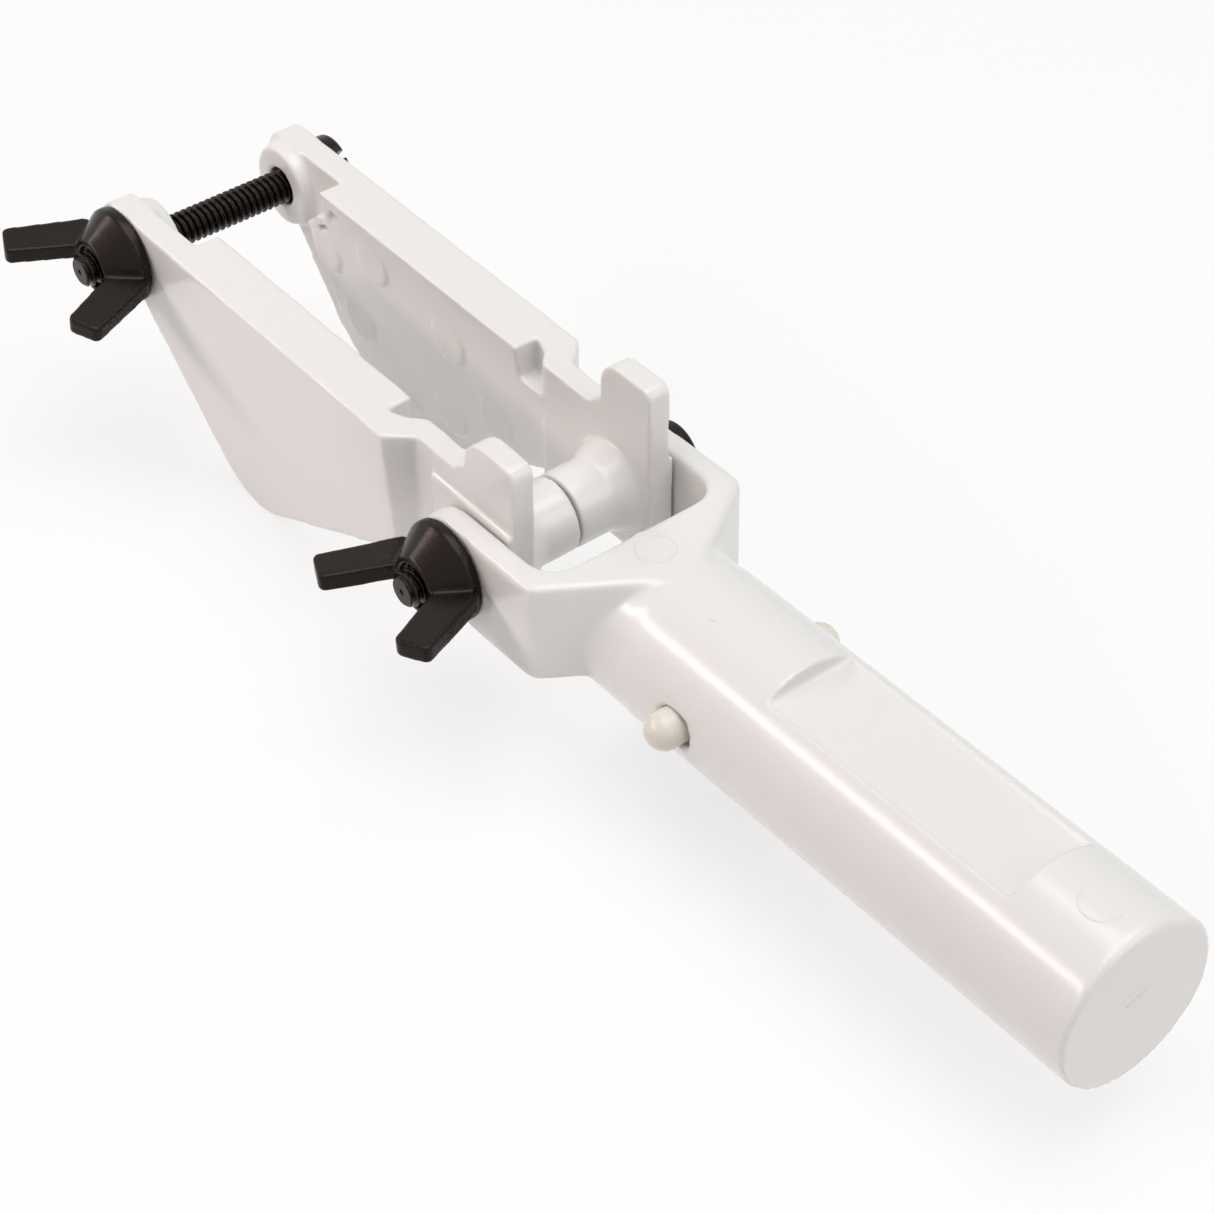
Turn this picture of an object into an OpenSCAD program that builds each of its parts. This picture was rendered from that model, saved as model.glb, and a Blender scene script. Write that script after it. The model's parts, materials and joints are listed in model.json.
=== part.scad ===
// Clamp head for a painting or sanding pole.
// Lengths are in millimetres and angles in degrees.
// The origin is the centre of the shank's end face. X runs along the shank
// towards the jaws, +Y is the wing-nut side and +Z is up.
// The jaws are drawn in their own frame: x forward from the pivot bolt's axis,
// z up, and the wing-nut side is +y. jaw_frame() puts them in their place.

/* [Shank] */
// Diameter of the shank that plugs into the pole
shank_d = 28.6; // [24:0.1:36]
// Diameter of the neck between the plug and the fork
neck_d = 28.2; // [24:0.1:36]
// Length of the stretch that fits the pole's socket
plug_len = 74; // [70:0.5:76]
// Length of the blend from the plug to the neck
neck_blend = 3; // [1:0.5:4]
// Rounding of the end rim at the top of the shank
rim_round = 1.6; // [0.5:0.1:3]
// How much of that rounding is gone where the rim comes down to mid-height
rim_fade = 1.3; // [0.2:0.1:1.4]
// Distance from the end face to the start of the flat on top
flat_start = 18; // [8:0.5:24]
// Length of the flat on top
flat_len = 50.2; // [30:0.1:51]
// Width of the flat on top
flat_w = 16.2; // [8:0.1:17]
// Depth of the flat below the top of the shank
flat_depth = 2.9; // [2.6:0.1:3.5]

/* [Snap buttons] */
// Distance from the end face to the buttons' axis
button_x = 82.8; // [81:0.1:84]
// Diameter of a button
button_d = 6.4; // [5:0.1:7.8]
// How far a button stands out of the shank
button_proud = 4.4; // [3:0.1:5]
// Height of the domed end of a button
dome_h = 2.9; // [1:0.1:3.2]
// How far a button's hole is lengthened towards the end face, on the outside
hole_slack = 0.8; // [0.5:0.1:1.5]
// Depth of that lengthening
slack_depth = 2.5; // [1:0.1:4]
// Diameter of the collar that keeps a button in
collar_d = 8.8; // [8:0.1:10]
// Thickness of that collar
collar_t = 1.5; // [1:0.1:2]
// Thickness of the spring clip's strip
clip_t = 0.8; // [0.5:0.1:1]
// Height of the spring clip's strip
clip_h = 6; // [4:0.5:8]
// Outer width of the spring clip across its legs
clip_w = 10.6; // [9:0.1:12]
// Length of the spring clip's straight legs
clip_leg = 13; // [12:0.5:15]

/* [Yoke] */
// Thickness of the yoke
yoke_t = 19; // [15.5:0.1:23]
// Depth of the yoke's underside below the shank's axis
yoke_drop = 5.1; // [3:0.1:7]
// Distance from the end face to the front of the cross-bar
bar_x = 108.7; // [108:0.1:120]
// Length of the sloping shoulders in front of the shank
shoulder_len = 12.9; // [8:0.1:14]
// Width between the arms
gap_w = 33.6; // [28:0.1:44]
// Thickness of an arm
arm_t = 4.5; // [3:0.1:7]
// Distance from the cross-bar to the pivot bolt
pivot_reach = 20.2; // [19:0.1:26]
// Height of the pivot bolt above the shank's axis
pivot_z = 5; // [3:0.1:6]
// Radius in the corners between cross-bar and arms
gap_round = 5; // [2:0.1:6]
// Rounding of the arms' upper outer edges
arm_round = 1.2; // [0.5:0.1:2]
// Rounding of the corners between the shoulders and the arms
shoulder_round = 3; // [1:0.5:6]

/* [Jaws] */
// Pitch of the jaws at rest, tips up
jaw_pitch = 1.5; // [0:0.1:5]
// Distance from the pivot bolt to the jaws' front end
jaw_reach = 104.6; // [95:0.1:130]
// Height of the jaws' top edge above the pivot bolt
jaw_top = 13.4; // [11:0.1:16]
// Depth of the lowest corner below the pivot bolt
jaw_depth = 35; // [30:0.5:40]
// Distance from the pivot bolt to that corner
keel_x = 67.3; // [60:0.1:75]
// Rounding of that corner
keel_round = 14; // [8:0.5:16]
// Thickness of a jaw plate around the clamp bolt
plate_t = 5.1; // [3.5:0.1:6.5]
// Outer width across both jaw plates at the top
jaw_w = 40.2; // [38:0.1:49]
// Inward lean of the jaw plates towards the bottom
plate_lean = 2.6; // [0:0.1:3]
// Distance from the pivot bolt to the jaw plates' rear edge
plate_x = 20.2; // [19.5:0.1:23]
// Distance from the pivot bolt to the rear end of the thick part of a jaw
grip_x = 24.7; // [24:0.1:28]
// Length of the jaws' thick parts at the top
grip_len = 56.9; // [50:0.1:58]
// Width between the jaws' inner faces at the top
grip_gap = 20.6; // [18:0.1:23]
// Outward lean of the inner faces towards the bottom
grip_lean = 6.2; // [4:0.1:6.5]
// Depth of the notch behind the thick part
notch_depth = 7; // [4:0.1:9]
// Thickness of the rear plates beside the pivot bolt
cheek_t = 4.2; // [3:0.1:5.5]
// Thickness of the rub pads between rear plates and arms
pad_t = 0.9; // [0.5:0.1:1.5]
// Height of the rub pads' top above the pivot bolt
pad_top = 9.1; // [8.8:0.1:11]
// Distance that the rear plates reach behind the pivot bolt
cheek_back = 9.3; // [8.5:0.1:11]
// Depth of the rear plates below the pivot bolt
cheek_drop = 11.2; // [9:0.1:12]
// Height of the near jaw's stop post above the pivot bolt
near_post_top = 21.8; // [19:0.1:26]
// Height of the far jaw's stop post above the pivot bolt
far_post_top = 24.1; // [19:0.1:26]
// Length of the stop posts along the jaw
post_len = 12.7; // [10:0.1:14]
// Rounding of a stop post's front corner
post_round = 5; // [2:0.5:6]
// Diameter of the hinge bosses
boss_d = 13.2; // [12:0.1:15]
// How much a boss widens where it meets its plate
boss_flare = 2.2; // [1:0.1:2.5]
// Length over which it widens
flare_len = 4; // [1:0.1:6]

/* [Clamp end] */
// Distance from the jaws' front end back to the clamp bolt
clamp_back = 7.1; // [6.5:0.1:9]
// Depth of the clamp bolt below the jaws' top edge
clamp_down = 8.2; // [7.5:0.1:10]
// Diameter of the inner boss around the clamp bolt
tip_boss_d = 14.6; // [12:0.1:16]
// How far that boss stands proud of the jaw plate
tip_boss_h = 2.3; // [1:0.1:3]
// Rounding of the jaws' front corners
tip_round = 4; // [1.5:0.1:5]

/* [Screws and wing nuts] */
// Outer diameter of both threads
bolt_d = 6.2; // [5:0.1:7.5]
// How far the threads stand out of their wing nuts
bolt_proud = 2.2; // [1:0.1:5]
// Diameter of a screw head
head_d = 11.4; // [9:0.1:13]
// Thickness of a screw head
head_t = 4.2; // [3:0.1:5]
// Turn of the clamp bolt's screwdriver slot from level
slot_turn = 48; // [-90:1:90]
// Width of the screwdriver slot
slot_w = 1.5; // [1:0.1:2]
// Depth of the screwdriver slot
slot_depth = 1.7; // [1:0.1:2.2]
// Diameter of a wing nut's base
nut_d = 17.6; // [15:0.1:18]
// Height of the straight part of the base
nut_skirt = 1.8; // [1:0.1:3]
// Diameter of a wing nut's hub at its top
nut_top_d = 9.8; // [9:0.1:12]
// Height of a wing nut's hub
nut_h = 7.2; // [5:0.1:9]
// Height of the wings' tips above the base
wing_h = 18.2; // [12:0.1:20]
// Distance from the axis to the inner corner of a wing's tip
wing_r = 10.2; // [8:0.1:13]
// Width of a wing
wing_w = 6.2; // [4:0.1:8]
// Thickness of a wing
wing_t = 3.1; // [2:0.1:4]
// Turn of the pivot wing nut from level
pivot_nut_turn = -4.5; // [-90:0.5:90]
// Turn of the clamp wing nut from level
clamp_nut_turn = 7.2; // [-90:0.1:90]

/* [Fits] */
// Radial gap between a bolt and the part that it turns or slides in
bolt_gap = 0.1; // [0.05:0.01:0.3]
// Radial gap between a bolt and the jaws, which lets the far jaw swing
jaw_bore_gap = 0.45; // [0.4:0.01:0.6]
// Gap between a flat seat and what rests on it
seat_gap = 0.05; // [0.02:0.01:0.2]
// Gap under the clamp bolt's head, which lets the far jaw tilt
clamp_seat_gap = 0.25; // [0.2:0.01:0.5]
// Gap between a rub pad and its arm
pad_gap = 0.4; // [0.35:0.01:0.6]
// Gap between the two hinge bosses
seam_gap = 0.6; // [0.4:0.01:1]
// Radial gap around a snap button
button_gap = 0.08; // [0.03:0.01:0.1]

/* [Hidden] */
$fn = 64;
// Overlap that joins solids of one piece, and overshoot of every cut
JOIN = 0.5;
CUT = 1;
// A corner's arc is this much larger, so that it crosses its edges cleanly
BITE = 1.0008;
// Turn of the shank's seam from its underside, clear of the flat on top
SEAM = 37.5;
// Radius of the round ejector marks inside the jaws
MARK_R = 4.4;
shank_r = shank_d / 2;
neck_r = min(neck_d, shank_d) / 2;
bolt_r = bolt_d / 2;
button_r = button_d / 2;
dome = min(dome_h, button_r - 0.2);

// Pocket for the spring clip, open at the underside
pocket_w = clip_w + 2 * (collar_t + 2 * seat_gap);
pocket_top = collar_d / 2 + 1.6;
pocket_x0 = button_x - collar_d / 2 - 2.4;
clip_x0 = button_x - collar_d / 2 - 0.5;
clip_x1 = clip_x0 + clip_leg;
pocket_x1 = clip_x1 + clip_w / 2 + 1.2;

// Yoke
yoke_top = yoke_t - yoke_drop;
yoke_mid = yoke_top - yoke_t / 2;
arm_in = gap_w / 2;
arm_out = arm_in + arm_t;
pivot_x = bar_x + pivot_reach;
shoulder_x = bar_x - shoulder_len;
shoulder_y = sqrt(max(1, pow(neck_r, 2) - pow(yoke_top, 2)));

// Jaws, in the jaw frame
plate_out = jaw_w / 2;
plate_in = plate_out - plate_t;
cheek_out = arm_in - pad_gap - pad_t;
cheek_in = cheek_out - cheek_t;
pad_out = arm_in - pad_gap;
grip_in = grip_gap / 2;
grip_end = grip_x + grip_len;
boss_r = boss_d / 2;
post_front = post_len - cheek_back;
heel_z = -11.5;
clamp_x = jaw_reach - clamp_back;
clamp_z = jaw_top - clamp_down;
tip_boss_r = tip_boss_d / 2;
seat_r = min(clamp_back, clamp_down) - 0.5;
// Height at which the upright front end turns into the sloping front edge
chin_z = clamp_z + 1.2;
// Inner faces lean in, so this is how far they have moved at the clamp bolt
clamp_lean = clamp_down * tan(plate_lean);
tip_face = plate_in - clamp_lean - tip_boss_h;

// Screws, along Y
nut_seat_pivot = arm_out + seat_gap;
nut_seat_clamp = plate_out + seat_gap;
pivot_bolt_end = nut_seat_pivot + nut_h + bolt_proud;
clamp_bolt_end = nut_seat_clamp + nut_h + bolt_proud;

// Which piece to draw

// ---------------------------------------------------------------- helpers

// Unit vector from one point to another
function way(a, b) = (b - a) / norm(b - a);

// Waste of one rounded corner p between its neighbours a and b
module corner_waste(a, p, b, r) {
    u = way(p, a);
    v = way(p, b);
    half = acos(u * v) / 2;
    reach = r / tan(half);
    inward = way([0, 0], u + v);
    middle = p + inward * r / sin(half);
    difference() {
        polygon([p - inward * CUT, p + u * reach, middle, p + v * reach]);
        translate(middle) circle(r * BITE);
    }
}

// Polygon with the corners named in radii rounded, 0 for a sharp corner
module rounded(pts, radii) {
    n = len(pts);
    difference() {
        polygon(pts);
        for (i = [0 : n - 1])
            if (radii[i] > 0)
                corner_waste(pts[(i + n - 1) % n], pts[i], pts[(i + 1) % n],
                             radii[i]);
    }
}

// Upright plate: the drawing's x and y become x and z, between y0 and y1
module upright(y0, y1) {
    translate([0, y1, 0]) rotate([90, 0, 0])
        linear_extrude(height = y1 - y0) children();
}

// Round rod along Y between y0 and y1
module rod(r, y0, y1) {
    translate([0, y0, 0]) rotate([-90, 0, 0])
        cylinder(r = r, h = y1 - y0);
}

// Cone along Y between y0 and y1
module cone(r0, r1, y0, y1) {
    translate([0, y0, 0]) rotate([-90, 0, 0])
        cylinder(r1 = r0, r2 = r1, h = y1 - y0);
}

// Moves jaw-frame drawings to their place on the yoke
module jaw_frame() {
    translate([pivot_x, 0, pivot_z]) rotate([0, -jaw_pitch, 0]) children();
}

// The far side is the near side reflected
module side(s) {
    if (s > 0) children();
    else mirror([0, 1, 0]) children();
}

// ------------------------------------------------------------------ yoke

// Shank: its rim is rounded at the top and sharp at the bottom, and from the
// snap buttons on it is a little thinner than in the pole's socket
module shank() {
    neck_x = plug_len + neck_blend;
    // The rounding's circle lies lower than the rim, so it runs out downwards
    ring = shank_r + rim_fade - 0.05;
    rotate([0, 90, 0]) difference() {
        rotate([0, 0, SEAM]) rotate_extrude()
            polygon([[0, 0], [shank_r, 0], [shank_r, plug_len],
                     [neck_r, neck_x], [neck_r, bar_x], [0, bar_x]]);
        translate([rim_fade, 0, 0]) rotate([0, 0, SEAM]) rotate_extrude()
            corner_waste([ring - CUT, 0], [ring, 0], [ring, CUT], rim_round);
    }
}

// Half of the yoke's outline seen from above; its shoulder starts a little
// inside the shank
module yoke_outline() {
    edge = [shoulder_x, shoulder_y];
    wide = [bar_x - 0.4, arm_out];
    root = edge - way(edge, wide) * JOIN;
    rounded([[root[0] - CUT, 0], root, wide, [pivot_x + yoke_t, arm_out],
             [pivot_x + yoke_t, arm_in], [bar_x, arm_in], [bar_x, 0]],
            [0, 0, shoulder_round, 0, 0, 0, 0]);
    difference() {
        translate([bar_x - JOIN, arm_in - gap_round])
            square([gap_round + JOIN, gap_round + JOIN]);
        translate([bar_x + gap_round, arm_in - gap_round])
            circle(gap_round);
    }
}

// Arms' side view, with half-round ends
module arm_side() {
    translate([0, -yoke_drop]) square([pivot_x, yoke_t]);
    translate([pivot_x, yoke_mid]) circle(yoke_t / 2);
}

// What rounding takes off an arm's upper outer edge
module arm_edge_waste() {
    translate([shoulder_x, arm_out, yoke_top]) rotate([90, 0, 90])
        linear_extrude(height = pivot_x - shoulder_x)
            corner_waste([-CUT, 0], [0, 0], [0, -CUT], arm_round);
    translate([pivot_x, 0, yoke_mid]) rotate([-90, 0, 0])
        rotate_extrude()
            corner_waste([yoke_t / 2, arm_out - CUT], [yoke_t / 2, arm_out],
                         [yoke_t / 2 - CUT, arm_out], arm_round);
}

module yoke_shank() {
    color([0.93, 0.92, 0.92])
    difference() {
        union() {
            shank();
            for (s = [1, -1]) side(s)
                difference() {
                    intersection() {
                        translate([0, 0, -yoke_drop])
                            linear_extrude(height = yoke_t) yoke_outline();
                        upright(-CUT, arm_out + CUT) arm_side();
                    }
                    arm_edge_waste();
                }
        }
        // Flat on top of the shank
        translate([flat_start, -flat_w / 2, shank_r - flat_depth])
            cube([flat_len, flat_w, flat_depth + CUT]);
        // Pocket for the spring clip
        translate([pocket_x0, -pocket_w / 2, -shank_r - CUT])
            cube([pocket_x1 - pocket_x0, pocket_w,
                  shank_r + CUT + pocket_top]);
        // Holes for the snap buttons, a little oblong on the outside
        translate([button_x, 0, 0])
            rod(button_r + button_gap, -shank_r - CUT, shank_r + CUT);
        for (s = [1, -1]) side(s)
            translate([button_x - hole_slack, 0, 0])
                rod(button_r + button_gap, shank_r - slack_depth, shank_r + CUT);
        // Bores for the pivot bolt
        translate([pivot_x, 0, pivot_z])
            rod(bolt_r + bolt_gap, -arm_out - CUT, arm_out + CUT);
    }
}

// ---------------------------------------------------------- snap buttons

module snap_button(s) {
    inner = clip_w / 2 + seat_gap;
    shoulder = shank_r + button_proud - dome;
    tip = shank_r + button_proud;
    color([0.90, 0.88, 0.80])
    side(s) translate([button_x, 0, 0]) rotate([-90, 0, 0])
        rotate_extrude() {
            translate([0, inner]) square([collar_d / 2, collar_t]);
            translate([0, inner]) square([button_r, shoulder - inner]);
            dome_r = (pow(button_r, 2) + pow(dome, 2)) / (2 * dome);
            intersection() {
                translate([0, tip - dome_r]) circle(dome_r);
                translate([0, shoulder - CUT]) square([button_r, dome + CUT]);
            }
        }
}

module near_snap_button() { snap_button(1); }
module far_snap_button() { snap_button(-1); }

module snap_spring_clip() {
    color([0.62, 0.63, 0.65])
    translate([0, 0, -clip_h / 2]) linear_extrude(height = clip_h) {
        for (s = [1, -1])
            translate([clip_x0, s > 0 ? clip_w / 2 - clip_t : -clip_w / 2])
                square([clip_leg, clip_t]);
        translate([clip_x1, 0])
            difference() {
                circle(clip_w / 2);
                circle(clip_w / 2 - clip_t);
                translate([-clip_w, -clip_w]) square([clip_w, 2 * clip_w]);
            }
    }
}

// ------------------------------------------------------------------ jaws

// Side view of a jaw plate, a little taller than the finished plate
module plate_side() {
    top = jaw_top + CUT;
    chin = [jaw_reach, chin_z];
    keel = [keel_x, -jaw_depth];
    rounded([[plate_x, top], [jaw_reach, top], chin, keel, [plate_x, heel_z]],
            [0, 0, 0, keel_round, 0]);
}

// What is taken off to leave a level top edge and a rounded front corner
module top_waste() {
    corner = [jaw_reach, jaw_top];
    translate([0, jaw_top]) square([jaw_reach + CUT, 3 * CUT]);
    corner_waste(corner - [CUT, 0], corner, corner - [0, CUT], tip_round);
}

// Leans a plate inward about its top outer edge
module leaned() {
    translate([0, plate_out, jaw_top]) rotate([-plate_lean, 0, 0])
        translate([0, -plate_out, -jaw_top]) children();
}

// A width part of the way from the rear plate's face to the jaw plate's
function step_y(cheek, plate, part) = cheek + part * (plate - cheek);

// Seen from above, the step from the wide jaw plate to the rear plate
module web_outline() {
    polygon([[plate_x + 4, plate_out], [plate_x - 0.4, plate_out],
             [plate_x - 2.6, step_y(cheek_out, plate_out, 0.48)],
             [plate_x - 4.1, step_y(cheek_out, plate_out, 0.08)],
             [plate_x - 5.5, cheek_out], [plate_x - 8, cheek_out],
             [plate_x - 8, cheek_in], [plate_x - 2.1, cheek_in],
             [plate_x - 1.2, step_y(cheek_in, plate_in, 0.1)],
             [plate_x + 0.9, step_y(cheek_in, plate_in, 0.65)],
             [plate_x + 4, plate_in]]);
}

// Side view of the rear plate with its stop post
module cheek_side(post_top) {
    front = plate_x - 6;
    rounded([[-cheek_back, -cheek_drop], [5, -cheek_drop], [front, heel_z],
             [front, jaw_top], [post_front + 3, jaw_top],
             [post_front, jaw_top + 2.4], [post_front, post_top],
             [-cheek_back, post_top]],
            [0, 0, 0, 0, 0, 0, post_round, 2]);
}

// Width of half the space between the jaws at height z
function grip_y(z) = grip_in + (jaw_top - z) * tan(grip_lean);

// Middles of the round ejector marks, from the thick part's top front corner
function mark_places() = [
    [1, -13.6], [-7, -24.9], [-14.8, -7], [-18.5, -37.3], [-33.2, -30.2],
    [-36.4, -11.5], [-47.9, -21.8]];

// The marks' ends are upright, so they stand proud of the face at the bottom
module marks() {
    for (m = mark_places()) {
        z = jaw_top + m[1];
        translate([grip_end + m[0], 0, z])
            rod(MARK_R, grip_y(z + 0.9 * MARK_R), grip_y(z - MARK_R) + CUT);
    }
}

// Thick plate between the leaning outer face and the inner face, which
// recedes towards the bottom and runs on to the rear plate
module grip() {
    difference() {
        union() {
            leaned() upright(grip_in - CUT, plate_out) plate_side();
            upright(grip_in - CUT, cheek_out - 1.5)
                translate([plate_x - 2.1, heel_z])
                    square([2.5, jaw_top - CUT - heel_z]);
        }
        translate([0, grip_in, jaw_top]) rotate([grip_lean, 0, 0])
            translate([0, -20, -2 * jaw_depth])
                cube([jaw_reach + CUT, 20, 2 * jaw_depth + 3 * CUT]);
    }
    intersection() {
        marks();
        leaned() upright(0, plate_out) plate_side();
    }
}

// Side view of the thinner stretch around the clamp bolt
module thin_side() {
    rear = grip_end - clamp_x;
    translate([clamp_x, clamp_z])
        polygon([[rear, clamp_down + 3 * CUT], [rear, 1.4], [-13.6, 1.2],
                 [-9.7, -2.2], [-12.5, -9.6], [-16.3, -23],
                 [clamp_back + CUT, -23],
                 [clamp_back + CUT, clamp_down + 3 * CUT]]);
}

// Small hollows in the inner face at the thick part's front end
module hollows() {
    upright(grip_in - CUT, grip_in + 1.4) translate([grip_end, jaw_top])
        polygon([[-2.7, -2.6], [-5.2, -2.9], [-1.7, -5.5]]);
    upright(grip_in - CUT, grip_in + 2.4) translate([grip_end, jaw_top])
        polygon([[-0.6, -8], [-0.6, -7.1], [2.4, -8.8], [2.4, -9.7]]);
}

// Jaw plate with the step to the rear plate, under a level top edge
module jaw_plate() {
    difference() {
        grip();
        upright(0, plate_out + CUT) top_waste();
        // Thinner stretch around the clamp bolt, and the notch at the rear
        leaned() upright(0, plate_in) {
            thin_side();
            translate([plate_x - 5, jaw_top - notch_depth])
                square([grip_x + 5 - plate_x, notch_depth + 3 * CUT]);
        }
        hollows();
    }
    // Step to the rear plate, cut to the leaning outer face
    intersection() {
        translate([0, 0, heel_z])
            linear_extrude(height = jaw_top - heel_z) web_outline();
        leaned() upright(0, plate_out)
            translate([0, -jaw_depth]) square([40, 2 * jaw_depth]);
    }
}

// One jaw, drawn on the +y side of the jaw frame
module jaw_half(post_top) {
    difference() {
        union() {
            jaw_plate();
            upright(cheek_in, cheek_out) cheek_side(post_top);
            // Rub pad
            upright(cheek_out - JOIN, pad_out)
                translate([-cheek_back, -cheek_drop])
                    square([plate_x - 8.3 + cheek_back, cheek_drop + pad_top]);
            // Hinge boss
            rod(boss_r, seam_gap / 2, cheek_in + JOIN);
            cone(boss_r, boss_r + boss_flare, cheek_in - flare_len,
                 cheek_in + JOIN);
            // Boss around the clamp bolt, and a square seat outside
            translate([clamp_x, 0, clamp_z]) {
                cone(tip_boss_r, tip_boss_r + 0.9, tip_face,
                     tip_face + tip_boss_h + JOIN);
                rod(seat_r, plate_out - 1.5, plate_out);
            }
        }
        rod(bolt_r + jaw_bore_gap, -CUT, arm_out);
        translate([clamp_x, 0, clamp_z])
            rod(bolt_r + jaw_bore_gap, 0, plate_out + CUT);
    }
}

module jaw(s, post_top) {
    color([0.94, 0.93, 0.93]) jaw_frame() side(s) jaw_half(post_top);
}

module near_jaw() { jaw(1, near_post_top); }
module far_jaw() { jaw(-1, far_post_top); }

// --------------------------------------------------- screws and wing nuts

// Slotted screw along +Y with the underside of its head at y0, ending at y1,
// its slot turned by turn from level
module screw(y0, y1, turn) {
    tip = 0.8;
    rim_t = head_t * 0.75;
    difference() {
        union() {
            rod(bolt_r, y0 - JOIN, y1 - tip);
            cone(bolt_r, bolt_r - tip, y1 - tip, y1);
            rod(head_d / 2, y0 - rim_t, y0);
            cone(head_d / 2 - 1.2, head_d / 2, y0 - head_t, y0 - rim_t);
        }
        rotate([0, turn, 0]) translate([-head_d, y0 - head_t - CUT, -slot_w / 2])
            cube([2 * head_d, slot_depth + CUT, slot_w]);
    }
}

// One wing, with the nut's axis as the drawing's y axis
module wing_side() {
    rise = way([nut_top_d / 2, nut_h], [wing_r, wing_h]);
    across = [rise[1], -rise[0]];
    inner = [wing_r, wing_h];
    outer = inner + across * wing_w;
    foot = [nut_d / 2 + 1.3, nut_skirt - 0.3];
    rounded([[bolt_r + 1.2, nut_skirt - 0.3], foot, outer, inner,
             [nut_top_d / 2 - 0.2, nut_h - 0.3]],
            [0, 1, 1.2, 1.2, 0]);
}

// Wing nut on its seat at y0, its wings turned by turn from level
module wing_nut(y0, turn) {
    translate([0, y0, 0]) rotate([0, -turn, 0])
        difference() {
            union() {
                rod(nut_d / 2, 0, nut_skirt);
                cone(nut_d / 2, nut_top_d / 2, nut_skirt, nut_h);
                for (a = [0, 180]) rotate([0, a, 0])
                    translate([0, 0, -wing_t / 2])
                        linear_extrude(height = wing_t) wing_side();
            }
            rod(bolt_r + bolt_gap, -CUT, nut_h + CUT);
            rod(bolt_r + 0.8, nut_h - 1.2, nut_h + CUT);
        }
}

module pivot_bolt() {
    color([0.15, 0.14, 0.13]) jaw_frame()
        screw(-arm_out - seat_gap, pivot_bolt_end, 0);
}

module pivot_wing_nut() {
    color([0.17, 0.15, 0.14]) jaw_frame()
        wing_nut(nut_seat_pivot, pivot_nut_turn);
}

module clamp_bolt() {
    color([0.15, 0.14, 0.13]) jaw_frame() translate([clamp_x, 0, clamp_z])
        screw(-plate_out - clamp_seat_gap, clamp_bolt_end, slot_turn);
}

module clamp_wing_nut() {
    color([0.17, 0.15, 0.14]) jaw_frame() translate([clamp_x, 0, clamp_z])
        wing_nut(nut_seat_clamp, clamp_nut_turn);
}

yoke_shank();
near_jaw();
far_jaw();
pivot_bolt();
pivot_wing_nut();
clamp_bolt();
clamp_wing_nut();
near_snap_button();
far_snap_button();
snap_spring_clip();
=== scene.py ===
"""Looks of a pole-mounted clamp head for a drywall sander, around its CAD frame.

The moulded pieces are their CAD surfaces laid anew with soft edges. The screws
are built anew with their threads, and the spring clip as two halves that bend
with the buttons. The mould's marks are added where the photograph shows them.
Lengths are in metres throughout.
"""

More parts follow.
